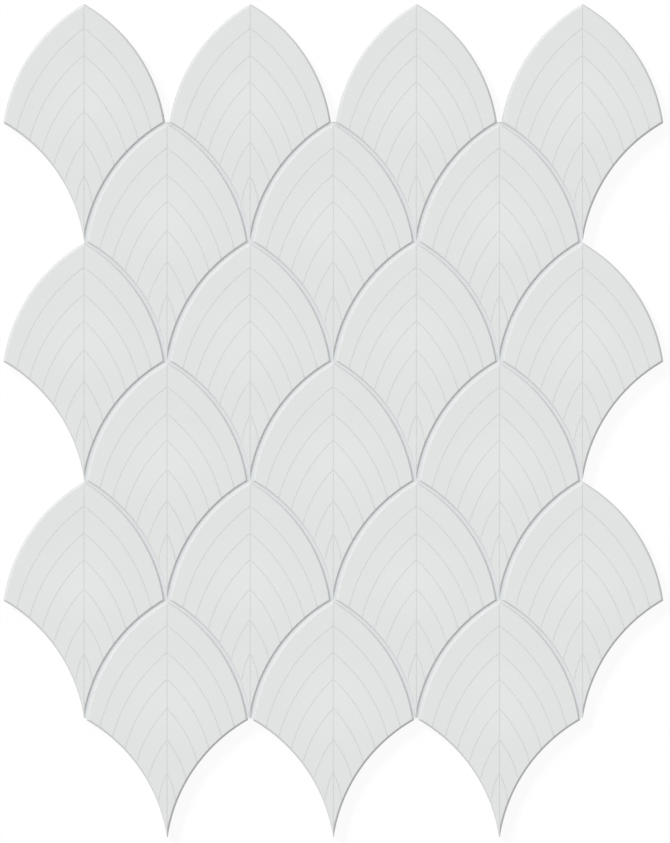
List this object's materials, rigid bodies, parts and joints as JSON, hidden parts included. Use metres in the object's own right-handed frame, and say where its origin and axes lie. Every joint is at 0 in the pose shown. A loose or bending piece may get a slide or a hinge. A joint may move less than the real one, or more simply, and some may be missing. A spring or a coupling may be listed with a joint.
{
  "type": "fish scale mosaic tile sheet",
  "caption": "Mosaic sheet of pointed fish scale tiles with fine engraved leaf veins, set in staggered interlocking rows and bonded edge to edge, for facing walls.",
  "frame": {"origin": "middle of the sheet, on the plane of the tile backs", "axes": "X along the rows, +Y towards the apexes of the tiles, +Z out of the glazed face"},
  "size_m": [0.2494, 0.315, 0.006],
  "materials": {
    "glazed_tile": "satin pale grey-white glaze",
    "joint_filler": "matt light blue-grey"
  },
  "bodies": {
    "root": {"tile_row1_1": "glazed_tile", "tile_row1_2": "glazed_tile", "tile_row1_3": "glazed_tile", "tile_row1_4": "glazed_tile", "tile_row2_1": "glazed_tile", "tile_row2_2": "glazed_tile", "tile_row2_3": "glazed_tile", "tile_row3_1": "glazed_tile", "tile_row3_2": "glazed_tile", "tile_row3_3": "glazed_tile", "tile_row3_4": "glazed_tile", "tile_row4_1": "glazed_tile", "tile_row4_2": "glazed_tile", "tile_row4_3": "glazed_tile", "tile_row5_1": "glazed_tile", "tile_row5_2": "glazed_tile", "tile_row5_3": "glazed_tile", "tile_row5_4": "glazed_tile", "tile_row6_1": "glazed_tile", "tile_row6_2": "glazed_tile", "tile_row6_3": "glazed_tile", "joint_web": "joint_filler"}
  },
  "joints": []
}
